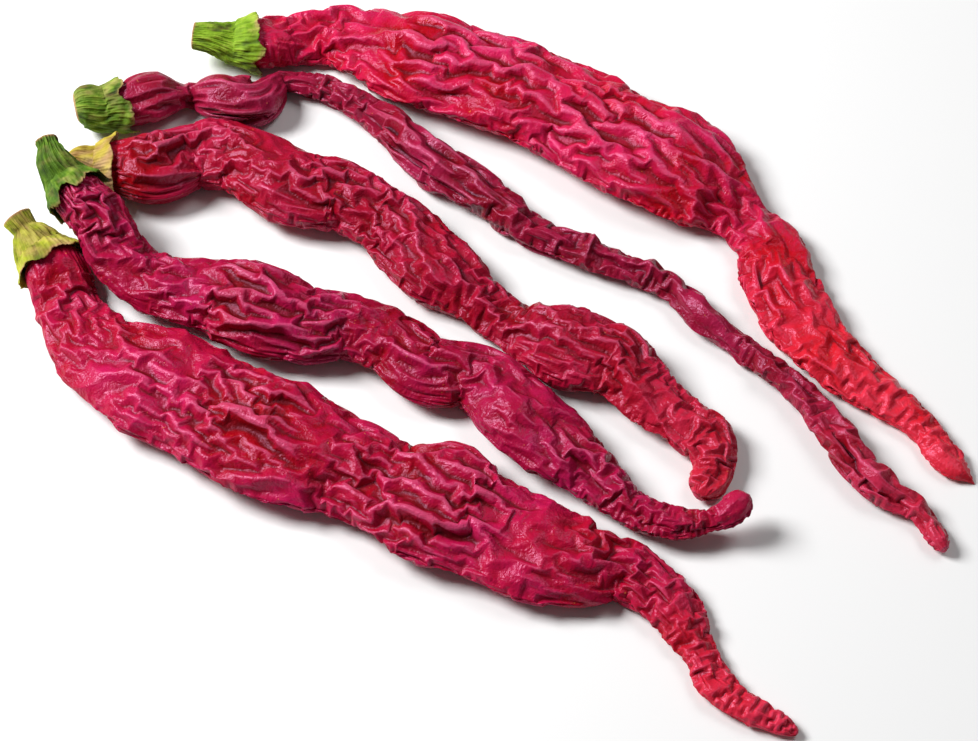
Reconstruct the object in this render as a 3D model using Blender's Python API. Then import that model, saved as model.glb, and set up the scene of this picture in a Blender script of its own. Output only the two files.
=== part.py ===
"""Five long red chillies, dried whole, lying side by side with their stem ends together.

Each chilli is two pieces: the shrivelled pod, and the dry calyx with its stub of stem, which sits like a
cap on the pod's shoulder. Lengths are in millimetres until a point goes into a mesh. +X runs from the stems
to the tips, and the chillies lie on z = 0.
"""

import math

import bmesh
import bpy
import numpy as np

MM = 0.001
MIDDLE = np.array([-2.63, 10.53, 0.0])  # middle of the whole set, taken off every point

SINK = 0.4  # how far a pod's round underside is flattened where it lies
ROUND_WIDTH = 7.0  # a stretch about this narrow has dried nearly round
ROUND_RATIO = 0.85  # thickness over width of such a stretch
SHOULDER_RATIO = 0.75  # thickness over width of the firm shoulder under the calyx
SHOULDER_REACH = 9.0  # how far the shoulder's roundness lasts
START_ROUNDING = 3.0
TIP_ROUNDING = 2.5
END_RINGS = (0.8, 2.2)  # extra rings just inside either end
LAST_RING_GAP = 4.4  # from either end to the evenly spaced rings

DENT_PITCH = 14.0  # length of the waves that lay out the dents; a dent is about half of it
DENT_DEPTH = 1.8  # where the pod is at least DENT_THICKNESS thick, and less where it is thinner
DENT_THICKNESS = 8.0
DENT_WAVES = 7
DENT_STRETCH = 0.7  # dents are longer along the pod than round it
DENT_START = (3.6, 12.6)  # the skin is smooth up to the first place and fully dented from the second
FOLD_START = 0.3  # share of the length before which the long folds are only faint
FOLD_FULL = 0.94
FOLD_FAINT = 0.15
FLAT_RATIO = 0.4  # a section this flat has folds in its faces but not in its edges
EDGE_FOLD = 2.0  # how fast the folds take the edges too as the section gets rounder

CALYX_WALL = 0.8
CALYX_CLEARANCE = 0.5
CALYX_RIBS = 7
RIB_SHARE = 0.05
TEARS = ((5, 0.8), (8, 0.5), (3, 0.4))  # waves round the torn rim, and how far each reaches along it
TEAR_SHARPNESS = 3
HELD_SHARES = (0.0, 0.4, 0.8, 1.2, 1.6)  # places over the shoulder, in reaches of the calyx
CUP_SHARES = (1.0, 0.6, 0.3, 0.0)  # rings down the inside of the cup, in reaches of the calyx
CUP_END = ((-0.9, 0.55), (-1.2, 0.0))  # place and share of the section of the rings that close the cup
STEM_RATIO = 0.9  # thickness over width of the stem
STEM_EDGE = 0.5  # bevel of the stem's cut end
SEAT = 1.6  # straight length of the cup behind the shoulder
SEAT_SHARE = 0.85
FLARE_RINGS = 8
CALYX_LINE_STEPS = 60

POD_RINGS = 60
CALYX_RINGS = 17
CALYX_AROUND = 16

# Stations hold x, y, width and the underside's lift, from the shoulder under the calyx to the tip. A stem
# end and a neck hold x, y, z and width, and cover is how far the calyx reaches over the shoulder.
CHILLIES = {
    "front": {
        "skin": (0.36, 0.008, 0.035),
        "flat": 0.38,
        "around": 18,
        "folds": 2,
        "fold_depth": 0.22,
        "twist": 1.3,
        "seed": 3,
        "stations": [
            (-88, 28.5, 10, 1), (-85.3, 24.7, 12, 1), (-82, 17, 15, 0), (-77.5, 8.5, 18.5, 0),
            (-62, -2.5, 26.5, 0), (-54, -7.5, 25.5, 0), (-36, -17.5, 27, 0), (-27, -21, 22.5, 0),
            (-18.5, -25.5, 22, 0), (-11, -28.5, 27, 0), (-2, -33.5, 24, 0), (16.5, -41.5, 20.5, 0),
            (24.5, -42.5, 14.5, 0), (30, -46.5, 13, 0), (37.5, -59, 8.5, 0), (40, -65, 8, 0),
            (49.5, -72, 5.5, 0), (53.5, -74, 4, 0),
        ],
        "stem_end": (-93.6, 35.4, 7.5, 6.2),
        "neck": (-90.6, 31.8, 5.8, 5.0),
        "calyx_colour": (0.32, 0.40, 0.07),
        "cover": 4.0,
    },
    "green_stemmed": {
        "skin": (0.28, 0.007, 0.03),
        "flat": 0.55,
        "around": 18,
        "folds": 3,
        "fold_depth": 0.2,
        "twist": 0.8,
        "seed": 8,
        "stations": [
            (-83.5, 41, 9, 8.8), (-80.5, 37, 10.5, 8.4), (-75.8, 32, 12.5, 6.5), (-73, 27, 14, 3.5),
            (-68, 22, 14.5, 1.5), (-60.5, 19.5, 16.5, 0.5), (-51.5, 17.5, 19.5, 0), (-44.5, 14, 21.5, 0),
            (-35.5, 11, 18.5, 0), (-27, 11, 16, 0), (-18.5, 7, 15.5, 0), (-12.5, 1, 16.5, 0),
            (-3.5, -0.5, 15.5, 0), (7.5, -12, 18.5, 0), (20, -23, 12.5, 0), (25.5, -28.7, 9.5, 0.8),
            (34.5, -33, 8, 2), (40, -33, 6, 3), (44.5, -31.5, 8, 4), (46.5, -28.5, 8.5, 5),
        ],
        "stem_end": (-88, 49, 15, 4.8),
        "neck": (-85.8, 43.8, 13.8, 4.4),
        "calyx_colour": (0.10, 0.22, 0.04),
        "cover": 4.5,
    },
    "brown_capped": {
        "skin": (0.33, 0.010, 0.03),
        "flat": 0.52,
        "around": 18,
        "folds": 3,
        "fold_depth": 0.2,
        "twist": 0.9,
        "seed": 14,
        "stations": [
            (-79.5, 50.2, 10, 1.3), (-75, 50.4, 12, 1.2), (-67.5, 50.5, 19, 0), (-60.5, 54.5, 17, 0),
            (-53, 54, 18, 0), (-37, 44.5, 19.5, 0), (-29.5, 43, 18, 0), (-23, 39, 16.5, 0),
            (-9, 24, 17.5, 0), (-2.5, 18, 13.5, 0), (4.5, 12, 13, 0), (13.5, 7, 19.5, 0),
            (25, 1.5, 16.5, 0), (29.5, -4, 14.5, 0), (36.5, -10.5, 12.5, 0), (41, -15, 12.5, 0),
            (41.5, -21, 10, 0), (39, -26.5, 8.5, 0),
        ],
        "stem_end": (-86.5, 51, 5.8, 3.8),
        "neck": (-83.5, 50.6, 6, 4.0),
        "calyx_colour": (0.42, 0.30, 0.12),
        "cover": 4.0,
    },
    "slender": {
        "skin": (0.24, 0.006, 0.03),
        "flat": 0.72,
        "around": 16,
        "folds": 3,
        "fold_depth": 0.26,
        "twist": 1.1,
        "seed": 21,
        "stations": [
            (-79.5, 66.3, 9, 1.5), (-75, 67.8, 10, 1), (-69.5, 70, 13.5, 0), (-62, 71.5, 7, 0),
            (-56.5, 70, 12, 0), (-48.5, 69, 12.5, 0), (-43.5, 75.5, 7, 0), (-37.5, 75, 7.5, 0),
            (-25.5, 67.5, 8, 0), (-12.5, 53.5, 11.5, 0), (-3.5, 46, 11, 0), (11.5, 34, 8.5, 0),
            (19.5, 30, 8.5, 0), (36.5, 21, 7.5, 0), (42, 14, 8.5, 0), (49, 7, 7, 0),
            (61.5, -7, 8.5, 0), (73.5, -25.5, 7.5, 0), (78, -28.5, 6, 0), (83, -37.5, 6, 0),
        ],
        "stem_end": (-85.2, 65, 6.2, 4.2),
        "neck": (-83.6, 65.4, 6.2, 7.0),
        "calyx_colour": (0.16, 0.26, 0.06),
        "cover": 4.5,
    },
    "broad": {
        "skin": (0.42, 0.012, 0.05),
        "flat": 0.38,
        "around": 18,
        "folds": 2,
        "fold_depth": 0.22,
        "twist": 1.2,
        "seed": 34,
        "stations": [
            (-53.5, 84.5, 9.5, 1.5), (-49, 84.7, 11.5, 1.2), (-42.5, 86.7, 15, 0), (-33.5, 88.5, 17, 0),
            (-24.5, 85.5, 21, 0), (-15, 80.5, 27, 0), (-7, 77, 26.5, 0), (0, 74, 27, 0),
            (16, 66, 26, 0), (24, 60, 26.5, 0), (40, 49, 27, 0), (51.5, 37.5, 14.5, 0),
            (56, 31, 16.5, 0), (57.5, 21, 17, 0), (65.5, 5.5, 15, 0), (81.5, -11, 8, 0),
            (87.5, -20, 6, 0), (90.5, -22.5, 1, 0),
        ],
        "stem_end": (-62.3, 84.7, 7, 6.0),
        "neck": (-58, 84.4, 6.5, 4.8),
        "calyx_colour": (0.22, 0.42, 0.05),
        "cover": 4.5,
    },
}


def remove_everything():
    for thing in list(bpy.data.objects):
        bpy.data.objects.remove(thing, do_unlink=True)


def finish_of(name, colour, roughness):
    """A plain dry surface of one colour."""
    material = bpy.data.materials.new(name)
    material.use_nodes = True
    shader = material.node_tree.nodes["Principled BSDF"]
    shader.inputs["Base Color"].default_value = (*colour, 1.0)
    shader.inputs["Roughness"].default_value = roughness
    shader.inputs["Metallic"].default_value = 0.0
    return material


def through(knots, values, at):
    """A smooth curve through values at their knots, read at each place in at."""
    gaps = np.diff(knots)[:, None]
    slopes = np.diff(values, axis=0) / gaps
    inner = (slopes[:-1] * gaps[1:] + slopes[1:] * gaps[:-1]) / (gaps[1:] + gaps[:-1])
    tangents = np.vstack([slopes[:1], inner, slopes[-1:]])
    span = np.clip(np.searchsorted(knots, at, side="right") - 1, 0, len(gaps) - 1)
    u = ((at - knots[span]) / gaps[span, 0])[:, None]
    rise = u * u * (3 - 2 * u)
    start = values[span] + (values[span + 1] - values[span]) * rise
    return start + gaps[span] * (u * (1 - u) ** 2 * tangents[span] - u * u * (1 - u) * tangents[span + 1])


def distances(points):
    """How far along the line each of its points lies."""
    steps = np.linalg.norm(np.diff(points, axis=0), axis=1)
    return np.concatenate([[0.0], np.cumsum(steps)])


def directions(points):
    """The line's direction, the level direction to its left and the one square to both, at every point."""
    along = np.gradient(points, axis=0)
    along /= np.linalg.norm(along, axis=1)[:, None]
    left = np.column_stack([-along[:, 1], along[:, 0], np.zeros(len(along))])
    left /= np.linalg.norm(left, axis=1)[:, None]
    return along, left, np.cross(along, left)


def thickness_ratio(chilli, width, place):
    """Wide stretches have fallen flat, and narrow ones and the shoulder have stayed rounder."""
    narrow = np.exp(-((width / ROUND_WIDTH) ** 2))
    ratio = chilli["flat"] + (ROUND_RATIO - chilli["flat"]) * narrow
    firm = np.exp(-((place / SHOULDER_REACH) ** 2))
    return ratio + (SHOULDER_RATIO - ratio) * firm


def pod_line(chilli, places):
    """Centre, half width and half thickness of the pod at each place along it."""
    stations = np.array(chilli["stations"], float)
    read = through(distances(stations[:, :2]), stations, places)
    half_width = np.maximum(read[:, 2], 1.0) / 2
    half_thickness = half_width * thickness_ratio(chilli, 2 * half_width, places)
    centre = read[:, [0, 1, 3]]
    centre[:, 2] = np.maximum(centre[:, 2], 0) + half_thickness - SINK
    return centre, half_width, half_thickness


def pod_length(chilli):
    return distances(np.array(chilli["stations"], float)[:, :2])[-1]


def dents(skin, seed):
    """Hollows between sharp ridges, laid out by a few crossing waves: 0 on a ridge, 1 in a hollow."""
    draw = np.random.RandomState(seed)
    total = np.zeros(len(skin))
    for _ in range(DENT_WAVES):
        heading = draw.normal(size=3)
        heading /= np.linalg.norm(heading)
        length = DENT_PITCH * draw.uniform(0.75, 1.35)
        total += np.cos(skin @ heading * math.tau / length + draw.uniform(0, math.tau))
    return np.minimum(np.abs(total) / math.sqrt(DENT_WAVES / 2), 1.0)


def pod_points(chilli, ring, turn):
    """Places of the pod's skin for ring numbers, counted from shoulder to tip, and turns round it."""
    length = pod_length(chilli)
    ends = np.array(END_RINGS)
    even = np.linspace(LAST_RING_GAP, length - LAST_RING_GAP, POD_RINGS - 5)
    places = np.concatenate([[0], ends, even, length - ends[::-1], [length]])
    centre, half_width, half_thickness = pod_line(chilli, places)
    along, left, up = directions(centre)

    start = 1 - np.clip(places / START_ROUNDING, 0, 1)
    tip = 1 - np.clip((length - places) / TIP_ROUNDING, 0, 1)
    closing = (np.sqrt(1 - start**2) * np.sqrt(1 - tip**2))[ring]

    across = half_width[ring] * np.cos(turn)
    above = half_thickness[ring] * np.sin(turn)
    facing = np.column_stack([half_thickness[ring] * np.cos(turn), half_width[ring] * np.sin(turn)])
    facing /= np.linalg.norm(facing, axis=1)[:, None]
    skin = np.column_stack([places[ring] * DENT_STRETCH, across, above])
    depth = DENT_DEPTH * dents(skin, chilli["seed"])
    depth *= np.minimum(2 * half_thickness / DENT_THICKNESS, 1)[ring]
    depth *= np.interp(places, DENT_START, (0, 1))[ring]

    lap = turn - math.tau * chilli["twist"] * places[ring] / length
    fold = (0.5 + 0.5 * np.cos(chilli["folds"] * lap)) ** 2 * chilli["fold_depth"]
    fold *= np.interp(places / length, (FOLD_START, FOLD_FULL), (FOLD_FAINT, 1))[ring]
    edge = EDGE_FOLD * np.clip(half_thickness / half_width - FLAT_RATIO, 0, 1)[ring]
    across = (across * (1 - fold * edge) - depth * facing[:, 0]) * closing
    above = (above * (1 - fold) - depth * facing[:, 1]) * closing
    points = centre[ring] + across[:, None] * left[ring] + above[:, None] * up[ring]
    points[:, 2] = np.maximum(points[:, 2], 0)
    return points


def calyx_line(chilli):
    """Centre and half sizes of the calyx's outside from the stem's cut end to past its rim, with the place
    of each row along it. The pod's shoulder starts at place 0, and the cup is straight just behind it."""
    held = np.array(HELD_SHARES) * chilli["cover"]
    centre, half_width, half_thickness = pod_line(chilli, held)
    heading = (centre[1] - centre[0]) / np.linalg.norm(centre[1] - centre[0])
    stem_end, neck = (np.array(chilli[key], float) for key in ("stem_end", "neck"))
    line = np.vstack([stem_end[:3], neck[:3], centre[0] - SEAT * heading, centre])
    held_sizes = np.column_stack([half_width, half_thickness]) + CALYX_CLEARANCE + CALYX_WALL
    stem_sizes = np.outer([stem_end[3], neck[3]], [0.5, 0.5 * STEM_RATIO])
    halves = np.vstack([stem_sizes, held_sizes[0] * SEAT_SHARE, held_sizes])
    places = distances(line)
    places = np.concatenate([(places - places[3])[:3], held])
    return places, np.column_stack([line, halves])


def calyx_points(chilli, ring, turn):
    """Places of the calyx's skin, from the cut end of the stem over the outside to the torn rim, and then
    back inside it to the middle of the cup, which stays clear of the pod's shoulder."""
    cover = chilli["cover"]
    knots, table = calyx_line(chilli)
    stem, neck = knots[:2]
    outside = [(stem, 0.0), (stem, 0.8), (stem + STEM_EDGE, 1.0), ((stem + neck) / 2, 0.95)]
    outside += [(place, 1.0) for place in np.linspace(neck, cover, FLARE_RINGS)]
    inside = [(share * cover, 1.0) for share in CUP_SHARES] + list(CUP_END)
    places, shares = np.array(outside + inside).T
    inner = (np.arange(len(places)) >= len(outside))[ring]

    draw = np.random.RandomState(chilli["seed"])
    flare = np.clip((places[ring] - neck) / (cover - neck), 0, 1)
    tears = sum(size * np.cos(count * turn + draw.uniform(0, math.tau)) for count, size in TEARS)
    torn = tears * np.where(inner, np.clip(places[ring] / cover, 0, 1), flare) ** TEAR_SHARPNESS
    place = places[ring] + torn
    read = through(knots, table, place)
    order = np.linspace(stem, knots[-1], CALYX_LINE_STEPS)
    along, left, up = directions(through(knots, table, order)[:, :3])
    frame = np.argmin(np.abs(order[None, :] - place[:, None]), axis=1)

    rib = 1 + RIB_SHARE * np.cos(CALYX_RIBS * turn) * np.where(inner, 0, 1 - flare**2)
    sections = (read[:, 3:] - np.where(inner, CALYX_WALL, 0)[:, None]) * (shares[ring] * rib)[:, None]
    points = read[:, :3] + (sections[:, 0] * np.cos(turn))[:, None] * left[frame]
    points += (sections[:, 1] * np.sin(turn))[:, None] * up[frame]
    points[:, 2] = np.maximum(points[:, 2], 0)
    return points


def body(name, rings, around, chilli, points_of, material, collection):
    """One closed body: a ball of rings and turns, whose points are moved to where points_of puts them."""
    shape = bmesh.new()
    bmesh.ops.create_uvsphere(shape, u_segments=around, v_segments=rings, radius=1.0)
    ball = np.array([corner.co for corner in shape.verts])
    ring = np.rint(np.arccos(np.clip(-ball[:, 2], -1, 1)) / math.pi * rings).astype(int)
    turn = np.arctan2(ball[:, 1], ball[:, 0])
    for corner, point in zip(shape.verts, (points_of(chilli, ring, turn) - MIDDLE) * MM):
        corner.co = point
    bmesh.ops.triangulate(shape, faces=shape.faces, quad_method="BEAUTY")
    mesh = bpy.data.meshes.new(name)
    shape.to_mesh(mesh)
    shape.free()
    mesh.materials.append(material)
    piece = bpy.data.objects.new(name, mesh)
    collection.objects.link(piece)
    return piece


remove_everything()
chillies = bpy.data.collections.new("dried_chillies")
bpy.context.scene.collection.children.link(chillies)
for name, chilli in CHILLIES.items():
    skin = finish_of(name + "_skin", chilli["skin"], 0.35)
    dry = finish_of(name + "_dry_calyx", chilli["calyx_colour"], 0.6)
    body(name + "_pod", POD_RINGS, chilli["around"], chilli, pod_points, skin, chillies)
    body(name + "_calyx", CALYX_RINGS, CALYX_AROUND, chilli, calyx_points, dry, chillies)
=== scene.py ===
import math

import bpy
import numpy as np
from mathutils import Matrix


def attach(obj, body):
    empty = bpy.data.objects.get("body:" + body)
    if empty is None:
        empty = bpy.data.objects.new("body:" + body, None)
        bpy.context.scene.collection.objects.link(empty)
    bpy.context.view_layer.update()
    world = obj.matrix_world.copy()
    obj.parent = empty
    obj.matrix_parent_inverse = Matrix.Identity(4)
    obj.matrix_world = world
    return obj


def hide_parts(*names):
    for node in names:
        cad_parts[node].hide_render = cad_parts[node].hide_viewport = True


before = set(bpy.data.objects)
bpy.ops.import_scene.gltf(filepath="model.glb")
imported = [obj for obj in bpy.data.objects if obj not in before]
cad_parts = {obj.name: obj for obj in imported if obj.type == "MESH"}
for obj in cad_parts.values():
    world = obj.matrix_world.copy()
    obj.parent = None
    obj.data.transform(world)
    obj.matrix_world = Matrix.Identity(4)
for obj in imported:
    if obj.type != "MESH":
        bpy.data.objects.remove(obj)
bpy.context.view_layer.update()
bpy.ops.object.select_all(action="DESELECT")

# The pods are the thin walls of long sweet peppers, dried whole. A wall keeps its size while the inside
# shrinks away, so it buckles into small flat faces with sharp ridges. Each is a ball of rings and turns put
# along the pod's bent line on the floor, whose skin grows inside a thin band until it crumples.

MM = 0.001
MIDDLE = np.array([-2.63, 10.53, 0.0])
SINK = 0.4
LEAST_WIDTH = 1.0
ROUND_WIDTH, ROUND_RATIO = 7.0, 0.85
SHOULDER_REACH, SHOULDER_RATIO = 9.0, 0.75
START_ROUNDING, TIP_ROUNDING = 4.5, 4.0
FOLD_START, FOLD_FULL = 0.3, 0.94
EDGE_FOLD, FLAT_RATIO = 2.0, 0.4
DENT_WAVES, DENT_PITCH, DENT_STRETCH = 7, 14.0, 0.7
DENT_LENGTHS = (0.75, 1.35)
DENT_DEPTH, EDGE_DENT, DENT_THICKNESS = 0.8, 0.45, 6.0
DENT_START = (3.6, 12.6)
INSET = (1.0, 0.5)
RINGS_PER_SMOOTHING = 50
BAND_DEPTH, BAND_SHARE, BAND_AT_SIDE = 2.0, 0.5, 0.5
BAND_START = ((2, 12), (0.15, 1))
BAND_TIP = ((0, 3.5), (0.35, 1))

# A station is a place on the floor, the pod's width there and how far it is lifted, in mm. Flat is how thick
# a wide stretch is for its width. Grown is the share of the growth along, round and along at the tip. Skins
# are the colours of the skin's painted shade, its base and its brighter tone.
CHILLIES = {
    "front": {
        "grown": (1, 1, 0.6), "stiff": 1.0, "flat": 0.38, "seed": 3, "rings": 300, "around": 80,
        "folds": 2, "fold_faint": 0.15, "fold_depth": 0.22, "twist": 1.3,
        "skins": ((0.13, 0.0003, 0.0012), (0.30, 0.0005, 0.005), (0.47, 0.008, 0.080)),
        "redder": (0.76, 0.92, 0.7),
        "stations": [
            (-88, 28.5, 10, 1), (-85.3, 24.7, 12, 1), (-82, 17, 15, 0), (-77.5, 8.5, 18.5, 0),
            (-62, -2.5, 26.5, 0), (-54, -7.5, 25.5, 0), (-36, -17.5, 27, 0), (-27, -21, 22.5, 0),
            (-18.5, -25.5, 22, 0), (-11, -28.5, 27, 0), (-2, -33.5, 24, 0), (16.5, -41.5, 20.5, 0),
            (24.5, -42.5, 14.5, 0), (30, -46.5, 13, 0), (37.5, -59, 8.5, 0), (40, -65, 8, 0),
            (49.5, -72, 5.5, 0), (53.5, -74, 4, 0),
        ],
    },
    "green_stemmed": {
        "grown": (0.9, 1.05, 0.8), "stiff": 1.2, "flat": 0.55, "seed": 8, "rings": 300, "around": 72,
        "folds": 3, "fold_faint": 0.15, "fold_depth": 0.2, "twist": 0.8,
        "skins": ((0.11, 0.0003, 0.0012), (0.25, 0.0005, 0.006), (0.41, 0.008, 0.080)),
        "redder": (0.9, 1.1, 0.3),
        "stations": [
            (-83.5, 41, 9, 8.8), (-80.5, 37, 10.5, 8.4), (-75.8, 32, 12.5, 6.5), (-73, 27, 14, 3.5),
            (-68, 22, 14.5, 1.5), (-60.5, 19.5, 16.5, 0.5), (-51.5, 17.5, 19.5, 0), (-44.5, 14, 21.5, 0),
            (-35.5, 11, 18.5, 0), (-27, 11, 16, 0), (-18.5, 7, 15.5, 0), (-12.5, 1, 16.5, 0),
            (-3.5, -0.5, 15.5, 0), (7.5, -12, 18.5, 0), (20, -23, 12.5, 0), (25.5, -28.7, 9.5, 0.8),
            (34.5, -33, 8, 2), (40, -33, 6, 3), (44.5, -31.5, 8, 4), (46.5, -28.5, 8.5, 5),
        ],
    },
    "brown_capped": {
        "grown": (1.1, 1.0, 1.3), "stiff": 1.0, "flat": 0.52, "seed": 14, "rings": 300, "around": 72,
        "folds": 3, "fold_faint": 0.15, "fold_depth": 0.2, "twist": 0.9,
        "skins": ((0.11, 0.0003, 0.001), (0.25, 0.0006, 0.004), (0.42, 0.008, 0.050)),
        "redder": (0.72, 1.0, 0.5),
        "stations": [
            (-79.5, 50.2, 10, 1.3), (-75, 50.4, 12, 1.2), (-67.5, 50.5, 19, 0), (-60.5, 54.5, 17, 0),
            (-53, 54, 18, 0), (-37, 44.5, 19.5, 0), (-29.5, 43, 18, 0), (-23, 39, 16.5, 0),
            (-9, 24, 17.5, 0), (-2.5, 18, 13.5, 0), (4.5, 12, 13, 0), (13.5, 7, 19.5, 0),
            (25, 1.5, 16.5, 0), (29.5, -4, 14.5, 0), (36.5, -10.5, 12.5, 0), (41, -15, 12.5, 0),
            (41.5, -21, 10, 0), (39, -26.5, 8.5, 0),
        ],
    },
    "slender": {
        "grown": (0.3, 1.25, 0.8), "stiff": 1.6, "flat": 0.72, "seed": 21, "rings": 330, "around": 48,
        "folds": 3, "fold_faint": 0.60, "fold_depth": 0.3, "twist": 1.1,
        "skins": ((0.05, 0.0003, 0.0012), (0.17, 0.0006, 0.005), (0.38, 0.012, 0.065)),
        "redder": (0.75, 1.0, 0.5),
        "stations": [
            (-79.5, 66.3, 9, 1.5), (-75, 67.8, 10, 1), (-69.5, 70, 13.5, 0), (-62, 71.5, 7, 0),
            (-56.5, 70, 12, 0), (-48.5, 69, 12.5, 0), (-43.5, 75.5, 7, 0), (-37.5, 75, 7.5, 0),
            (-25.5, 67.5, 8, 0), (-12.5, 53.5, 11.5, 0), (-3.5, 46, 11, 0), (11.5, 34, 8.5, 0),
            (19.5, 30, 8.5, 0), (36.5, 21, 7.5, 0), (42, 14, 8.5, 0), (49, 7, 7, 0),
            (61.5, -7, 8.5, 0), (73.5, -25.5, 7.5, 0), (78, -28.5, 6, 0), (83, -37.5, 6, 0),
        ],
    },
    "broad": {
        "grown": (0.9, 1.0, 0.7), "stiff": 1.8, "flat": 0.38, "seed": 34, "rings": 300, "around": 80,
        "folds": 2, "fold_faint": 0.15, "fold_depth": 0.22, "twist": 1.2,
        "skins": ((0.16, 0.0004, 0.0015), (0.40, 0.0008, 0.007), (0.60, 0.015, 0.105)),
        "redder": (0.62, 0.8, 0.9),
        "stations": [
            (-53.5, 84.5, 9.5, 1.5), (-49, 84.7, 11.5, 1.2), (-42.5, 86.7, 15, 0), (-33.5, 88.5, 17, 0),
            (-24.5, 85.5, 21, 0), (-15, 80.5, 27, 0), (-7, 77, 26.5, 0), (0, 74, 27, 0),
            (16, 66, 26, 0), (24, 60, 26.5, 0), (40, 49, 27, 0), (51.5, 37.5, 14.5, 0),
            (56, 31, 16.5, 0), (57.5, 21, 17, 0), (65.5, 5.5, 15, 0), (81.5, -11, 8, 0),
            (87.5, -20, 6, 0), (90.5, -22.5, 1, 0),
        ],
    },
}


def through(knots, values, at):
    """A smooth curve through values at their knots, read at each place in at."""
    gaps = np.diff(knots)[:, None]
    slopes = np.diff(values, axis=0) / gaps
    inner = (slopes[:-1] * gaps[1:] + slopes[1:] * gaps[:-1]) / (gaps[1:] + gaps[:-1])
    tangents = np.vstack([slopes[:1], inner, slopes[-1:]])
    span = np.clip(np.searchsorted(knots, at, side="right") - 1, 0, len(gaps) - 1)
    u = ((at - knots[span]) / gaps[span, 0])[:, None]
    rise = u * u * (3 - 2 * u)
    start = values[span] + (values[span + 1] - values[span]) * rise
    return start + gaps[span] * (u * (1 - u) ** 2 * tangents[span] - u * u * (1 - u) * tangents[span + 1])


def distances(points):
    """How far along the line each of its points lies."""
    steps = np.linalg.norm(np.diff(points, axis=0), axis=1)
    return np.concatenate([[0.0], np.cumsum(steps)])


def unit(arrows):
    """The same directions, each with a length of one."""
    return arrows / np.maximum(np.linalg.norm(arrows, axis=-1), 1e-9)[..., None]


def directions(points):
    """The line's direction, the level direction to its left and the one square to both, at every point."""
    along = unit(np.gradient(points, axis=0))
    left = unit(np.column_stack([-along[:, 1], along[:, 0], np.zeros(len(along))]))
    return along, left, np.cross(along, left)


def outward(grid):
    """The direction that points out of the skin at every point of its grid."""
    return unit(np.cross(np.roll(grid, -1, 1) - np.roll(grid, 1, 1), np.gradient(grid, axis=0)))


def pod_line(chilli, places):
    """Centre, half width and half thickness of the pod at each place along it."""
    stations = np.array(chilli["stations"], float)
    read = through(distances(stations[:, :2]), stations, places)
    half_width = np.maximum(read[:, 2], LEAST_WIDTH) / 2
    ratio = chilli["flat"] + (ROUND_RATIO - chilli["flat"]) * np.exp(-((2 * half_width / ROUND_WIDTH) ** 2))
    ratio += (SHOULDER_RATIO - ratio) * np.exp(-((places / SHOULDER_REACH) ** 2))
    half_thickness = half_width * ratio
    centre = read[:, [0, 1, 3]]
    centre[:, 2] = np.maximum(centre[:, 2], 0) + half_thickness - SINK
    return centre, half_width, half_thickness


def smoothed(field, times):
    """The field with each value drawn towards its neighbours so many times."""
    for _ in range(times):
        field = (2 * field + np.roll(field, 1, 1) + np.roll(field, -1, 1)) / 4
        field = field.copy()
        field[1:-1] = (2 * field[1:-1] + field[:-2] + field[2:]) / 4
    return field


def dents(skin, seed):
    """Hollows between sharp ridges, laid out by a few crossing waves: 0 on a ridge, 1 in a hollow."""
    draw = np.random.RandomState(seed)
    total = np.zeros(skin.shape[:-1])
    for _ in range(DENT_WAVES):
        heading = draw.normal(size=3)
        heading /= np.linalg.norm(heading)
        length = DENT_PITCH * draw.uniform(*DENT_LENGTHS)
        total += np.cos(skin @ heading * math.tau / length + draw.uniform(0, math.tau))
    return np.minimum(np.abs(total) / math.sqrt(DENT_WAVES / 2), 1.0)


def plump_skin(chilli, rings, around):
    """The skin before it crumples: a grid of points, its outward directions and how far it may rise."""
    length = distances(np.array(chilli["stations"], float)[:, :2])[-1]
    places = np.linspace(0, length, rings + 1)
    centre, half_width, half_thickness = pod_line(chilli, places)
    _, left, up = directions(centre)
    start = 1 - np.clip(places / START_ROUNDING, 0, 1)
    tip = 1 - np.clip((length - places) / TIP_ROUNDING, 0, 1)
    closing = (np.sqrt(1 - start**2) * np.sqrt(1 - tip**2))[:, None]

    turn = np.arange(around)[None, :] * math.tau / around
    lap = turn - math.tau * chilli["twist"] * places[:, None] / length
    fold = (0.5 + 0.5 * np.cos(chilli["folds"] * lap)) ** 2 * chilli["fold_depth"]
    fold = fold * np.interp(places / length, (FOLD_START, FOLD_FULL), (chilli["fold_faint"], 1))[:, None]
    edge = EDGE_FOLD * np.clip(half_thickness / half_width - FLAT_RATIO, 0, 1)[:, None]

    across = half_width[:, None] * np.cos(turn)
    above = half_thickness[:, None] * np.sin(turn)
    facing = unit(np.stack([half_thickness[:, None] * np.cos(turn), half_width[:, None] * np.sin(turn)], 2))
    skin = np.stack([np.broadcast_to(places[:, None] * DENT_STRETCH, across.shape), across, above], 2)
    dent = DENT_DEPTH * dents(skin, chilli["seed"]) * (EDGE_DENT + (1 - EDGE_DENT) * np.abs(facing[..., 1]))
    dent += INSET[0] * np.abs(facing[..., 0]) + INSET[1] * np.abs(facing[..., 1])
    thick = np.minimum(2 * half_thickness / DENT_THICKNESS, 1)
    dent *= (thick * np.interp(places, DENT_START, (0, 1)))[:, None]
    across = (across * (1 - fold * edge) - dent * facing[..., 0]) * closing
    above = (above * (1 - fold) - dent * facing[..., 1]) * closing
    points = centre[:, None] + across[..., None] * left[:, None] + above[..., None] * up[:, None]
    points[..., 2] = np.maximum(points[..., 2], 0)
    out = unit(smoothed(outward(points), rings // RINGS_PER_SMOOTHING))

    depth = np.minimum(BAND_DEPTH, BAND_SHARE * half_thickness)[:, None]
    depth = depth * (BAND_AT_SIDE + (1 - BAND_AT_SIDE) * np.abs(np.sin(turn)))
    depth = depth * np.interp(places, *BAND_START)[:, None]
    depth = depth * np.interp(length - places, *BAND_TIP)[:, None]
    return points - MIDDLE, out, depth


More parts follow.
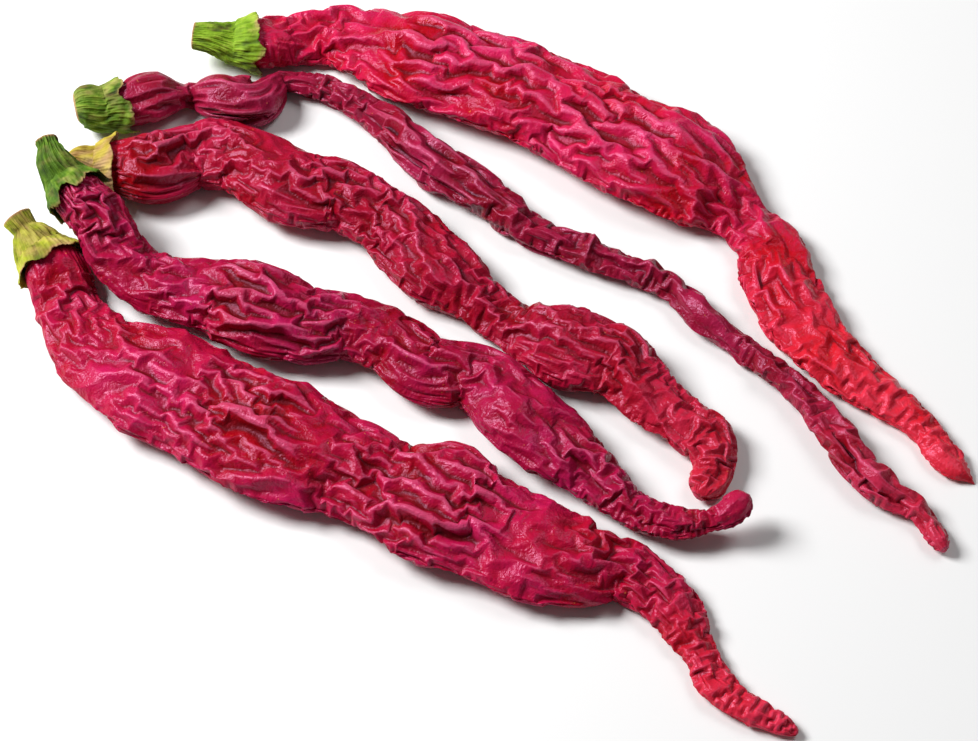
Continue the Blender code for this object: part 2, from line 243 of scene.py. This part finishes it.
def neighbours(points, down, across, start):
    """Every second point of the grid and its neighbour so many rings down and turns across. The neighbours
    are a copy where they run past the last turn, so a third value says how far to turn changes back."""
    if down:
        first, second = points[start::2 * down], points[start + down::2 * down]
        return first[:len(second)], np.roll(second, -across, 1), second, across
    first = points[:, start::2 * across]
    if start < across:
        second = points[:, start + across::2 * across]
        return first, second, second, 0
    second = points[:, start - across::2 * across]
    return first, np.roll(second, -1, 1), second, 1


DIAGONAL = 0.7


def ties(points, lively, calm, stiffness):
    """The ties that hold each point to its neighbours, with their lengths on the plump skin and how much each
    of them takes part in the growth. The ties to the second neighbours keep the skin from bending."""
    kinds = (
        (1, 0, 1.0), (0, 1, 1.0), (1, 1, DIAGONAL), (1, -1, DIAGONAL), (2, 0, stiffness), (0, 2, stiffness),
    )
    held = []
    for down, across, firm in kinds:
        for start in range(2 * (down or across)):
            first, second, _, _ = neighbours(points, down, across, start)
            rest = np.sqrt(((second - first) ** 2).sum(2))
            part = neighbours(lively, down, across, start)[0] * rest
            share = np.float32(down / (down + abs(across)))
            lengthwise = neighbours(calm, down, across, start)[0] * part * share
            held.append((down, across, start, firm, rest, lengthwise, part * (1 - share)))
    return held


def pull(points, held, along, about):
    """Moves both ends of every tie until it has its grown length, each halfway."""
    for down, across, start, firm, rest, lengthwise, crosswise in held:
        length = rest + lengthwise * np.float32(along) + crosswise * np.float32(about)
        first, second, kept, back = neighbours(points, down, across, start)
        gap = second - first
        size = np.sqrt(gap[..., 0] ** 2 + gap[..., 1] ** 2 + gap[..., 2] ** 2) + np.float32(1e-6)
        gap *= (np.float32(0.5 * firm) * (1 - length / size))[..., None]
        first += gap
        kept -= np.roll(gap, back, 1) if back else gap


def finer(field):
    """The same field on a grid with twice the rings and turns."""
    rows, turns = field.shape[:2]
    wide = np.empty((rows, 2 * turns) + field.shape[2:], field.dtype)
    wide[:, 0::2] = field
    wide[:, 1::2] = (9 * (field + np.roll(field, -1, 1)) - np.roll(field, 1, 1) - np.roll(field, -2, 1)) / 16
    tall = np.empty((2 * rows - 1,) + wide.shape[1:], field.dtype)
    tall[0::2] = wide
    tall[1::2] = (wide[:-1] + wide[1:]) / 2
    return tall


def nearest_of(flat, start, nearest, rows, turns):
    """For every point, the plump skin's point nearest to it, looked for beside the one found before."""
    row, turn = np.divmod(nearest, turns)
    best = ((flat - start[nearest]) ** 2).sum(1)
    found = nearest
    for down in (-1, 0, 1):
        for across in (-1, 0, 1):
            other = np.clip(row + down, 0, rows - 1) * turns + (turn + across) % turns
            gap = ((flat - start[other]) ** 2).sum(1)
            found = np.where(gap < best, other, found)
            best = np.minimum(gap, best)
    return found


# A level is its number of sweeps, its stiffness, and how far the skin has grown along and round by its end.
LEVELS = ((300, 0.045, 0.075, 0.25), (80, 0.03, 0.12, 0.33))
GROWING_SHARE = 0.6
LIVELY_SMOOTHING, LIVELY_SPREAD = 90, 0.45
LIVELY_RANGE = (0.25, 1.9)
FINE_SMOOTHING, SLOW_SMOOTHING = 2, 16
FINE_PUSH, SLOW_PUSH, LATER_PUSH = 0.3, 0.4, 0.05
SIDE_CALM, SIDE_SHARPNESS, TIP_CALM_START = 0.85, 3, 0.7
SEARCHES, SWEEPS_PER_SEARCH = 3, 6


def clouds(draw, shape, times):
    """Random clouds over the grid with a spread of one."""
    field = smoothed(draw.normal(size=shape), times)
    return field / field.std()


def crumple(chilli):
    """Lets the skin grow while it is held in a band on its plump shape, on a coarse grid and then a fine one,
    so that it buckles into folds."""
    draw = np.random.RandomState(chilli["seed"])
    rings, around = chilli["rings"], chilli["around"]
    before = (0.0, 0.0)
    for level, (sweeps, stiffness, *after) in enumerate(LEVELS):
        plump, out, depth = plump_skin(chilli, rings, around)
        if level == 0:
            lively = smoothed(draw.normal(size=depth.shape), LIVELY_SMOOTHING)
            lively = np.clip(1 + LIVELY_SPREAD * lively / lively.std(), *LIVELY_RANGE)
            push = np.abs(clouds(draw, depth.shape, FINE_SMOOTHING)) * FINE_PUSH
            push = push + np.abs(clouds(draw, depth.shape, SLOW_SMOOTHING)) * SLOW_PUSH
            offset = out * np.minimum(push, depth)[..., None]
        else:
            lively = finer(lively)
            push = clouds(draw, depth.shape, FINE_SMOOTHING) * LATER_PUSH
            offset = finer(offset) + out * push[..., None]

        points = (plump + offset).astype(np.float32)
        flat = points.reshape(-1, 3)
        origin, facing_out = (field.reshape(-1, 3).astype(np.float32) for field in (plump, out))
        high = depth.reshape(-1).astype(np.float32)
        fixed = np.zeros(depth.shape, bool)
        fixed[:2] = fixed[-1:] = True
        fixed = fixed.reshape(-1)
        nearest = np.arange(len(flat))
        for _ in range(SEARCHES):
            nearest = nearest_of(flat, origin, nearest, *depth.shape)

        share = np.linspace(0, 1, rings + 1)[:, None]
        side = np.abs(np.cos(np.arange(around) * math.tau / around))
        calm = 1 - SIDE_CALM * side**SIDE_SHARPNESS
        calm = calm * np.interp(share, (TIP_CALM_START, 1), (1, chilli["grown"][2]))
        fields = (field.astype(np.float32) for field in (plump, lively, calm))
        held = ties(*fields, stiffness * chilli["stiff"])
        for sweep in range(sweeps):
            grown = min(1.0, (sweep + 1) / (GROWING_SHARE * sweeps))
            along, about = (a + (b - a) * grown for a, b in zip(before, after))
            pull(points, held, along * chilli["grown"][0], about * chilli["grown"][1])
            if sweep % SWEEPS_PER_SEARCH == SWEEPS_PER_SEARCH - 1:
                nearest = nearest_of(flat, origin, nearest, *depth.shape)
            facing = facing_out[nearest]
            height = ((flat - origin[nearest]) * facing).sum(1)
            flat += facing * (np.clip(height, 0, high[nearest]) - height)[:, None]
            flat[:, 2] = np.maximum(flat[:, 2], 0)
            flat[fixed] = origin[fixed]
        before = after
        offset = points - plump
        rings, around = 2 * rings, 2 * around
    return plump + offset


LIKENESS = 0.22
FACE_REACH, FACE_SPREAD = 2, 6
FACE_ROUNDS, FACE_MOVES = 5, 16


def flat_faced(grid):
    """Draws the skin's directions together where they are nearly alike, so that it falls into flat faces with
    sharp edges between them, and moves its points to suit."""
    grid = grid.copy()
    one = np.roll(grid[1:], -1, 1) - grid[:-1]
    other = grid[1:] - np.roll(grid[:-1], -1, 1)
    normal = unit(np.cross(one, other))
    near_by = range(-FACE_REACH, FACE_REACH + 1)
    for _ in range(FACE_ROUNDS):
        total = normal.copy()
        padded = np.pad(normal, ((FACE_REACH, FACE_REACH), (0, 0), (0, 0)), mode="edge")
        for down in near_by:
            rows = padded[FACE_REACH + down:FACE_REACH + down + len(normal)]
            for across in near_by:
                other = np.roll(rows, across, 1)
                near = math.exp(-(down * down + across * across) / FACE_SPREAD)
                unlike = ((other - normal) ** 2).sum(2)
                total += other * (near * np.exp(-unlike / (2 * LIKENESS**2)))[..., None]
        normal = unit(total)
    for _ in range(FACE_MOVES):
        middle = (grid[:-1] + grid[1:] + np.roll(grid[:-1], -1, 1) + np.roll(grid[1:], -1, 1)) / 4
        shift = np.zeros_like(grid)
        for rows in (slice(0, -1), slice(1, None)):
            for back in (0, 1):
                face, point = np.roll(normal, back, 1), np.roll(middle, back, 1)
                shift[rows] += face * (face * (point - grid[rows])).sum(2)[..., None]
        grid[1:-1] += shift[1:-1] / 4
    return grid


def ball_mesh(name, grid, values):
    """A closed ball whose rings and turns are moved to the grid's points, with values kept on its points."""
    rings, around = grid.shape[0] - 1, grid.shape[1]
    bpy.ops.mesh.primitive_uv_sphere_add(segments=around, ring_count=rings, radius=1)
    piece = bpy.context.object
    piece.name = piece.data.name = name
    ball = np.empty(3 * len(piece.data.vertices), np.float32)
    piece.data.vertices.foreach_get("co", ball)
    ball = ball.reshape(-1, 3)
    ring = np.rint(np.arccos(np.clip(-ball[:, 2], -1, 1)) / math.pi * rings).astype(int)
    turn = np.rint(np.arctan2(ball[:, 1], ball[:, 0]) / math.tau * around).astype(int) % around
    piece.data.vertices.foreach_set("co", (grid[ring, turn] * MM).astype(np.float32).reshape(-1))
    for key, field in values.items():
        kept = piece.data.attributes.new(key, "FLOAT", "POINT")
        kept.data.foreach_set("value", field[ring, turn].astype(np.float32))
    piece.data.update()
    bpy.ops.object.shade_smooth()
    piece.select_set(False)
    piece.data.materials.clear()
    return piece


class Value:
    """A socket in a material, so that its shading can be written as sums."""

    def __init__(self, tree, socket=None):
        self.tree = tree
        self.socket = socket

    def node(self, kind, settings=None, inputs=None, output=0):
        """Adds a node with its settings and what its sockets are given, and returns one of its outputs."""
        made = self.tree.nodes.new(kind)
        for name, setting in (settings or {}).items():
            setattr(made, name, setting)
        for name, given in (inputs or {}).items():
            if isinstance(given, Value):
                self.tree.links.new(given.socket, made.inputs[name])
            else:
                made.inputs[name].default_value = given
        return Value(self.tree, made.outputs[output])

    def sum(self, operation, one, other):
        """Two values added, multiplied and so on."""
        return self.node("ShaderNodeMath", {"operation": operation}, {0: one, 1: other})

    def __add__(self, other):
        return self.sum("ADD", self, other)

    def __radd__(self, other):
        return self.sum("ADD", other, self)

    def __sub__(self, other):
        return self.sum("SUBTRACT", self, other)

    def __mul__(self, other):
        return self.sum("MULTIPLY", self, other)

    def __rmul__(self, other):
        return self.sum("MULTIPLY", other, self)

    def __truediv__(self, other):
        return self.sum("DIVIDE", self, other)

    def __abs__(self):
        return self.sum("ABSOLUTE", self, 0)

    def held(self):
        """The value kept between 0 and 1."""
        return self.node("ShaderNodeClamp", None, {0: self})

    def kept(self, name):
        """A value that the piece keeps on its points."""
        return self.node("ShaderNodeAttribute", {"attribute_name": name}, None, "Fac")

    def noise(self, scale, detail, distortion=0.0):
        """Clouds in the piece's own space, from 0 to 1, with so many to a metre."""
        place = self.node("ShaderNodeTexCoord", None, None, "Object")
        inputs = {"Vector": place, "Scale": scale, "Detail": detail, "Distortion": distortion}
        return self.node("ShaderNodeTexNoise", None, inputs)

    def mixed(self, share, one, other):
        """One colour going over to another as the share goes from 0 to 1."""
        one, other = (c if isinstance(c, Value) else (*c, 1) for c in (one, other))
        return self.node("ShaderNodeMix", {"data_type": "RGBA"}, {0: share, 6: one, 7: other}, 2)

    def bumps(self, strength, distance, height):
        """The surface's direction over bumps of this height."""
        inputs = {"Strength": strength, "Distance": distance, "Height": height}
        return self.node("ShaderNodeBump", None, inputs)

    def given_to(self, socket):
        """Links the value to a socket of the shader."""
        self.tree.links.new(self.socket, socket)


def new_material(name):
    """A new material with its shader and a first value to build its shading from."""
    material = bpy.data.materials.new(name)
    material.use_nodes = True
    tree = material.node_tree
    return material, tree.nodes["Principled BSDF"], Value(tree)


# Clouds are how many there are to a metre, their detail and how far they are bent.
SKIN_CLOUDS = {
    "broad": (70, 3), "fine": (800, 3, 0.5), "patch": (55, 2), "speck": (1500, 2), "gloss": (900, 2),
    "creased": (330, 2, 1.2), "crimped": (750, 2, 0.8), "grain": (1300, 3, 0.6),
}
BROAD_TONE, MIDDLE_TONE, FINE_TONE, RELIEF_LIGHT_TONE = 2.2, 0.4, 0.8, 0.3
TAIL_SKIN = ((0.58, 0.008, 0.016), (0.82, 0.045, 0.085))
PATCH_EDGE, PATCH_STRENGTH, PATCH_TINT = 4, 0.5, (1.35, 1.0, 0.5)
SHADE = (1.35, 0.08, 0.8)
CREASE = (6.0, 0.4, 0.5)
RIDGE_HIGHLIGHT = (8.0, 0.8, 0.32)
RIDGE_HIGHLIGHT_SKIN = (0.72, 0.13, 0.27)
SPECK = (0.72, 14.0, 0.6)
SPECK_SKIN = (0.75, 0.28, 0.06)
ROUGHNESS, ROUGH_CLOUDS, ROUGH_HOLLOWS = 0.31, 0.3, 0.2
SHINE, SHINE_TINT = 0.28, (1.0, 0.55, 0.9, 1)
CREASED_HEIGHT, CRIMPED_HEIGHT = 2.5, 2.0
WRINKLE = (0.4, 0.0003)


def dry_skin(name, skins, redder):
    """Thin dried skin, its tone varying at random, with painted shade in its hollows and creases, painted
    light on its raised faces and a painted highlight along its sharpest ridges, and redder in patches and
    towards its tip."""
    material, shader, value = new_material(name)
    noise = {key: value.noise(*cloud) for key, cloud in SKIN_CLOUDS.items()}
    ridge, hollow, end = (value.kept(key) for key in ("ridge", "hollow", "end"))
    painted_shade_skin, base, bright = skins
    # The tone is partly random clouds, the skin's own uneven colour, and partly painted light and shade:
    # raised parts of the relief lean towards the brighter skin and sunken ones towards the base.
    tone = (noise["broad"] - 0.5) * BROAD_TONE + MIDDLE_TONE + (noise["fine"] - 0.5) * FINE_TONE
    tone = (tone + hollow * RELIEF_LIGHT_TONE).held()
    first, last, strength = redder
    tail = ((end - first) / (last - first)).held() * strength
    colour = value.mixed(tone, value.mixed(tail, base, TAIL_SKIN[0]), value.mixed(tail, bright, TAIL_SKIN[1]))
    patch = ((noise["patch"] - 0.5) * PATCH_EDGE).held() * PATCH_STRENGTH
    colour = value.mixed(patch, colour, tuple(part * tint for part, tint in zip(base, PATCH_TINT)))
    # Painted shade: the skin is drawn towards its painted shade colour in the hollows of its folds and along
    # its creases, where shadow would fall.
    dark = (hollow * -SHADE[0] - SHADE[1]).held() * SHADE[2]
    crease = (ridge * -CREASE[0] - CREASE[1]).held() * CREASE[2]
    colour = value.mixed((dark + crease).held(), colour, painted_shade_skin)
    # Painted highlight: a thin pale line is painted along the sharpest ridges, where light would catch them.
    colour = value.mixed((ridge * RIDGE_HIGHLIGHT[0] - RIDGE_HIGHLIGHT[1]).held() * RIDGE_HIGHLIGHT[2], colour, RIDGE_HIGHLIGHT_SKIN)
    speck = ((noise["speck"] - SPECK[0]) * SPECK[1]).held() * SPECK[2]
    value.mixed(speck, colour, SPECK_SKIN).given_to(shader.inputs["Base Color"])

    rough = ROUGHNESS + (noise["gloss"] - 0.5) * ROUGH_CLOUDS + dark * ROUGH_HOLLOWS
    rough.given_to(shader.inputs["Roughness"])
    creased, crimped = (abs(noise[key] - 0.5) for key in ("creased", "crimped"))
    wrinkles = noise["grain"] + CREASED_HEIGHT * creased + CRIMPED_HEIGHT * crimped
    value.bumps(*WRINKLE, wrinkles).given_to(shader.inputs["Normal"])
    shader.inputs["Specular IOR Level"].default_value = SHINE
    shader.inputs["Specular Tint"].default_value = SHINE_TINT
    return material


RIDGE_SMOOTHING, RIDGE_SPREAD = 3, 0.1
HOLLOW_SMOOTHING, HOLLOW_SPREAD = 24, 0.25

for name, chilli in CHILLIES.items():
    grid = flat_faced(crumple(chilli))
    grid[..., 2] = np.maximum(grid[..., 2], 0)
    grid[0], grid[-1] = grid[0].mean(0), grid[-1].mean(0)
    normal = outward(grid)
    # The ridge and hollow values measure how far the skin stands out from its smoothed shape; the skin's
    # material paints shade, light and highlights from them.
    ridge = ((grid - smoothed(grid, RIDGE_SMOOTHING)) * normal).sum(2)
    hollow = ((grid - smoothed(grid, HOLLOW_SMOOTHING)) * normal).sum(2)
    ridge *= RIDGE_SPREAD / ridge.std()
    hollow *= HOLLOW_SPREAD / hollow.std()
    end = np.linspace(0, 1, len(grid))[:, None] + 0 * ridge
    piece = ball_mesh(name + "_skin", grid, {"ridge": ridge, "hollow": hollow, "end": end})
    piece.data.materials.append(dry_skin(name + " skin", chilli["skins"], chilli["redder"]))
    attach(piece, "root")
    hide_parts(name + "_pod")

# The calyxes are the green caps that joined the pods to the plant, each with the cut stub of its stem. They
# have dried fibrous and stiff, with tan where the green has died back. Each is a bell with a torn rim, thin
# towards its edge, that stands a little off the pod's shoulder and is hollow over it.

CALYX_TURNS = 400
CALYX_WALL, RIM_WALL, CALYX_CLEARANCE = 0.8, 0.35, 0.3
STEM_RATIO = 0.9
HELD_SHARES = (0.0, 0.4, 0.8, 1.2, 1.6)
BLEND = 8
CUT_ROWS = ((0.25, 0.0), (0.2, 0.4), (0.1, 0.7), (0.0, 0.86), (0.12, 0.97))
STUB_START, STUB_ROWS, BELL_ROWS, INSIDE_ROWS = 0.4, 14, 52, 14
RIM_ROUNDING = 0.12
INSIDE_END = ((-0.9, 0.55), (-1.2, 0.0))
FRAMES = 120
TEARS = ((5, 0.8), (8, 0.5), (3, 0.4), (17, 0.14), (29, 0.10), (53, 0.06))
TEAR_SHARPNESS = 3
FIBRES = ((7, 0.17), (13, 0.12), (22, 0.10), (37, 0.07), (58, 0.05))
FIBRE_SWAY, SWAY_PITCHES, SWAYED_COUNT = 0.35, (0.3, 0.7), 8
FIBRE_FAINT, FAINT_PITCHES = 0.35, (0.8, 1.6)
FIBRE_SPREAD, FIBRE_SINK, CUT_FIBRES = 0.26, 0.2, 0.4
CREASES, CREASE_PITCH, CREASE_BEND, CREASE_FADE, CREASE_HEIGHT = 0.22, 2.6, 3, 0.8, 0.6
LIFT, LIFT_SHARPNESS = 0.15, 6
LEAST_HALF = 0.2
TAN_PATCH, TAN_STREAK, STREAK_PITCH = 1.5, 0.35, 1.3
TAN_RIM, RIM_START, RIM_EDGE = 0.8, 0.93, 12
CUT_REACH, CUT_EDGE = 0.5, 3

# The stem's end and neck are places with a width, cover is how far the bell reaches over the pod, and bell
# where it starts to widen and how fast. Tan is the share that has died back and the side it is on.
CALYXES = {
    "front": {
        "stem_end": (-93.6, 35.4, 7.5, 6.2), "neck": (-90.6, 31.8, 5.8, 5.0), "cover": 4.0,
        "greens": ((0.10, 0.12, 0.004), (0.32, 0.35, 0.014), (0.50, 0.49, 0.05)),
        "tear": 0.50, "bell": (0.7, 0.5), "tan": (0.25, 1.0),
    },
    "green_stemmed": {
        "stem_end": (-88, 49, 15, 4.8), "neck": (-85.8, 43.8, 13.8, 4.4), "cover": 4.5,
        "greens": ((0.02, 0.045, 0.002), (0.07, 0.15, 0.005), (0.18, 0.28, 0.02)),
        "tear": 1.00, "bell": (0.3, 0.8), "tan": (0.1, 1.0),
    },
    "brown_capped": {
        "stem_end": (-86.5, 51, 5.8, 3.8), "neck": (-83.5, 50.6, 6, 4.0), "cover": 4.0,
        "greens": ((0.16, 0.08, 0.012), (0.40, 0.30, 0.03), (0.56, 0.46, 0.08)),
        "tear": 0.30, "bell": (0.5, 0.55), "tan": (0.75, 3.6),
    },
    "slender": {
        "stem_end": (-85.2, 65, 6.2, 4.2), "neck": (-83.6, 65.4, 6.2, 7.0), "cover": 4.5,
        "greens": ((0.02, 0.035, 0.002), (0.09, 0.18, 0.007), (0.26, 0.35, 0.035)),
        "tear": 0.80, "bell": (0.0, 0.4), "tan": (0.15, 1.0),
    },
    "broad": {
        "stem_end": (-62.3, 84.7, 7, 6.0), "neck": (-58, 84.4, 6.5, 4.8), "cover": 4.5,
        "greens": ((0.05, 0.09, 0.003), (0.20, 0.35, 0.012), (0.42, 0.52, 0.07)),
        "tear": 0.55, "bell": (0.0, 0.95), "tan": (0.08, 1.0),
    },
}


def calyx_line(chilli, calyx):
    """Places along the calyx, from the stem's cut end to past its rim, and its centre and half sizes there.
    The pod's shoulder starts at place 0."""
    held = np.array(HELD_SHARES) * calyx["cover"]
    centre, half_width, half_thickness = pod_line(chilli, held)
    stem_end, neck = (np.array(calyx[key], float) for key in ("stem_end", "neck"))
    line = np.vstack([stem_end[:3], neck[:3], centre])
    held_sizes = np.column_stack([half_width, half_thickness])
    stem_sizes = np.outer([stem_end[3], neck[3]], [0.5, 0.5 * STEM_RATIO])
    halves = np.vstack([stem_sizes, held_sizes])
    places = distances(line)
    places = np.concatenate([(places - places[2])[:2], held])
    return places, np.column_stack([line, halves]), stem_sizes


def bell_sizes(places, knots, table, stem_sizes, calyx):
    """Half sizes of the calyx's outside: a bell from the neck to the rim that clears the pod's shoulder."""
    neck, cover = knots[1], calyx["cover"]
    gap = CALYX_CLEARANCE + CALYX_WALL
    pod = through(knots, table[:, 3:], np.maximum(places, 0))
    left = np.clip(1 - places / START_ROUNDING, 0, 1)
    shoulder = pod * np.sqrt(np.clip(1 - left**2, 0, 1))[:, None] + gap * np.clip(1 + places, 0, 1)[:, None]
    full = through(knots, table[:, 3:], np.array([cover]))[0] + gap
    start = knots[0] + calyx["bell"][0] * (neck - knots[0])
    flare = np.clip((places - start) / (cover - start), 0, None)[:, None]
    along = np.clip((places - knots[0]) / (neck - knots[0]), 0, 1)[:, None]
    stem = stem_sizes[0] + (stem_sizes[1] - stem_sizes[0]) * along
    bell = stem + (full - stem) * flare ** calyx["bell"][1]
    return (bell**BLEND + shoulder**BLEND) ** (1 / BLEND)


def calyx_rows(stem, neck, cover):
    """Rows from the middle of the stem's cut, over the outside to the rim and back inside: the place of each,
    the share of the full width that it has, and 1 where it is inside."""
    rows = [(stem + place, share, 0) for place, share in CUT_ROWS]
    rows += [(place, 1.0, 0) for place in np.linspace(stem + STUB_START, neck, STUB_ROWS)]
    rows += [(place, 1.0, 0) for place in np.linspace(neck, cover, BELL_ROWS)[1:]]
    rows += [(cover + RIM_ROUNDING, 1.0, 0.5)]
    rows += [(place, 1.0, 1) for place in np.linspace(cover, 0, INSIDE_ROWS)]
    rows += [(place, share, 1) for place, share in INSIDE_END]
    return (column[:, None] for column in np.array(rows).T)


def calyx_grid(chilli, calyx):
    """The calyx's points, with how high its fibres stand, where it is tan and which points are inside."""
    cover = calyx["cover"]
    knots, table, stem_sizes = calyx_line(chilli, calyx)
    stem, neck = knots[:2]
    places, shares, inner = calyx_rows(stem, neck, cover)
    turn = np.arange(CALYX_TURNS)[None, :] * math.tau / CALYX_TURNS
    draw = np.random.RandomState(chilli["seed"])

    flare = np.clip((places - neck) / (cover - neck), 0, 1)
    tears = sum(size * np.cos(count * turn + draw.uniform(0, math.tau)) for count, size in TEARS)
    torn = np.where(inner == 1, np.clip(places / cover, 0, 1), flare) ** TEAR_SHARPNESS
    place = places + tears * calyx["tear"] * torn
    read = through(knots, table, place.ravel())
    read[:, 3:] = bell_sizes(place.ravel(), knots, table, stem_sizes, calyx)
    read = read.reshape(place.shape + (5,))
    order = np.linspace(stem, knots[-1], FRAMES)
    _, left, up = directions(through(knots, table, order)[:, :3])
    frame_at = np.argmin(np.abs(order[None, None, :] - place[..., None]), axis=2)

    fibre = np.zeros(place.shape)
    for count, size in FIBRES:
        sway = np.sin(place * draw.uniform(*SWAY_PITCHES) + draw.uniform(0, math.tau))
        sway = FIBRE_SWAY * sway * SWAYED_COUNT / count
        strength = np.sin(place * draw.uniform(*FAINT_PITCHES) + 2 * turn + draw.uniform(0, math.tau))
        strength = 1 - FIBRE_FAINT + FIBRE_FAINT * strength
        fibre += size * strength * np.cos(count * (turn + sway) + draw.uniform(0, math.tau))
    bend = CREASE_BEND * np.sin(2 * turn + 1)
    crease = CREASES * np.sin(place * CREASE_PITCH + bend + draw.uniform(0, math.tau)) * flare
    crease *= 0.5 + 0.5 * np.sin(3 * turn + place * CREASE_FADE + draw.uniform(0, math.tau))
    lift = LIFT * flare**LIFT_SHARPNESS * (1 + np.sin(4 * turn + draw.uniform(0, math.tau)))
    wall = np.interp(place, (0, cover), (CALYX_WALL, RIM_WALL)) * inner
    proud = (fibre + crease * CREASE_HEIGHT - FIBRE_SINK) * np.where(shares < 1, CUT_FIBRES, 1)
    proud = proud * (1 - inner) + lift
    across = np.maximum(read[..., 3] - wall + proud, LEAST_HALF) * shares
    above = np.maximum(read[..., 4] - wall + proud, LEAST_HALF) * shares
    points = read[..., :3] + (across * np.cos(turn))[..., None] * left[frame_at]
    points += (above * np.sin(turn))[..., None] * up[frame_at]
    points[..., 2] = np.maximum(points[..., 2], 0)

    share, side = calyx["tan"]
    patch = (0.5 + 0.5 * np.cos(turn - side)) * TAN_PATCH
    streak = TAN_STREAK * np.sin(9 * turn + place * STREAK_PITCH)
    rim = np.clip((flare - RIM_START) * RIM_EDGE, 0, 1) * (0.4 + 0.4 * np.sin(5 * turn + 1))
    cut = np.clip((stem + CUT_REACH - place) * CUT_EDGE, 0, 1)
    tanned = np.clip(share * (patch + streak) + rim * TAN_RIM + cut, 0, 1)
    return points - MIDDLE, {"fibre": fibre / FIBRE_SPREAD, "tanned": tanned}


FIBRE_CLOUDS = {
    "broad": (260, 4, 0.4), "rib": (350, 3), "tan": (420, 3), "speck": (1400, 2), "grain": (900, 4, 0.5),
}
RIB_TONE, GREEN_TONE, GREEN_CLOUDS = 0.22, 0.42, 1.9
DARK_TAN, LIGHT_TAN = (0.26, 0.12, 0.04), (0.62, 0.42, 0.20)
TAN_MIX, TAN_MIX_START = 2, 0.6
TAN_EDGE, TAN_CLOUDS, TAN_START = 1.5, 1.2, 0.2
BLACK_SPECK = (0.66, 9, 0.5)
BLACK = (0.05, 0.035, 0.01)
FIBRE_BUMP = (0.6, 0.0004)
FIBRE_ROUGHNESS, FIBRE_SHINE = 0.68, 0.2


def dry_fibre(name, dark, mid, light):
    """Dry green fibre, lighter along its raised ribs and darker between them, partly its own streaks and
    partly painted light and shade, with tan where it has died back and black specks.
    """
    material, shader, value = new_material(name)
    noise = {key: value.noise(*cloud) for key, cloud in FIBRE_CLOUDS.items()}
    # Partly the fibres' own streaks and partly painted light and shade: the colour is lighter where the
    # fibres stand proud and darker in the grooves between them.
    rib = value.kept("fibre") * (noise["rib"] * 2)
    tone = (rib * RIB_TONE + GREEN_TONE + (noise["broad"] - 0.5) * GREEN_CLOUDS).held()
    colour = value.mixed((tone * 2).held(), dark, mid)
    colour = value.mixed((tone * 2 - 1).held(), colour, light)
    tan = value.mixed((noise["broad"] * TAN_MIX - TAN_MIX_START).held(), DARK_TAN, LIGHT_TAN)
    tanned = value.kept("tanned") * TAN_EDGE + (noise["tan"] - 0.5) * TAN_CLOUDS - TAN_START
    colour = value.mixed(tanned.held(), colour, tan)
    speck = ((noise["speck"] - BLACK_SPECK[0]) * BLACK_SPECK[1]).held() * BLACK_SPECK[2]
    value.mixed(speck, colour, BLACK).given_to(shader.inputs["Base Color"])
    value.bumps(*FIBRE_BUMP, noise["grain"]).given_to(shader.inputs["Normal"])
    shader.inputs["Roughness"].default_value = FIBRE_ROUGHNESS
    shader.inputs["Specular IOR Level"].default_value = FIBRE_SHINE
    return material


for name, calyx in CALYXES.items():
    grid, kept = calyx_grid(CHILLIES[name], calyx)
    grid[0], grid[-1] = grid[0].mean(0), grid[-1].mean(0)
    piece = ball_mesh(name + "_stem_cap", grid, kept)
    piece.data.materials.append(dry_fibre(name + " calyx", *calyx["greens"]))
    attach(piece, "root")
    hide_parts(name + "_calyx")

# The chillies lie on a matt white floor, which is no part of them. A lamp stands high on the left, a weaker
# one on the right, and the camera looks down at 55 degrees.

FLOOR_SIZE, FLOOR_WHITE, FLOOR_ROUGHNESS = 3, (0.85, 0.85, 0.85, 1), 0.8
ROOM_WHITE, ROOM_LIGHT = (1, 1, 1, 1), 0.1
LAMPS = (((-0.5, 0.15, 0.5), (-15, -45, 0), 0.3, 8.0), ((0.4, 0.3, 0.7), (-20, 30, 0), 0.4, 1.8))
CAMERA_PLACE, CAMERA_TILT = (0.00263, -0.26218, 0.36440), 35
LENS, SENSOR_WIDTH, NEAREST_SEEN = 85, 36, 0.01

bpy.ops.mesh.primitive_plane_add(size=FLOOR_SIZE)
floor = bpy.context.object
floor.name = "floor"
material, shader, _ = new_material("pale floor")
shader.inputs["Base Color"].default_value = FLOOR_WHITE
shader.inputs["Roughness"].default_value = FLOOR_ROUGHNESS
floor.data.materials.append(material)

world = bpy.data.worlds.new("studio")
bpy.context.scene.world = world
world.use_nodes = True
room = world.node_tree.nodes["Background"].inputs
room["Color"].default_value = ROOM_WHITE
room["Strength"].default_value = ROOM_LIGHT

for place, turns, size, power in LAMPS:
    rotation = tuple(math.radians(turn) for turn in turns)
    bpy.ops.object.light_add(type="AREA", location=place, rotation=rotation)
    lamp = bpy.context.object
    lamp.data.size = size
    lamp.data.energy = power

bpy.ops.object.camera_add(location=CAMERA_PLACE, rotation=(math.radians(CAMERA_TILT), 0, 0))
camera = bpy.context.object
camera.data.lens = LENS
camera.data.sensor_width = SENSOR_WIDTH
camera.data.clip_start = NEAREST_SEEN
bpy.context.scene.camera = camera
bpy.context.scene.view_settings.view_transform = "Standard"
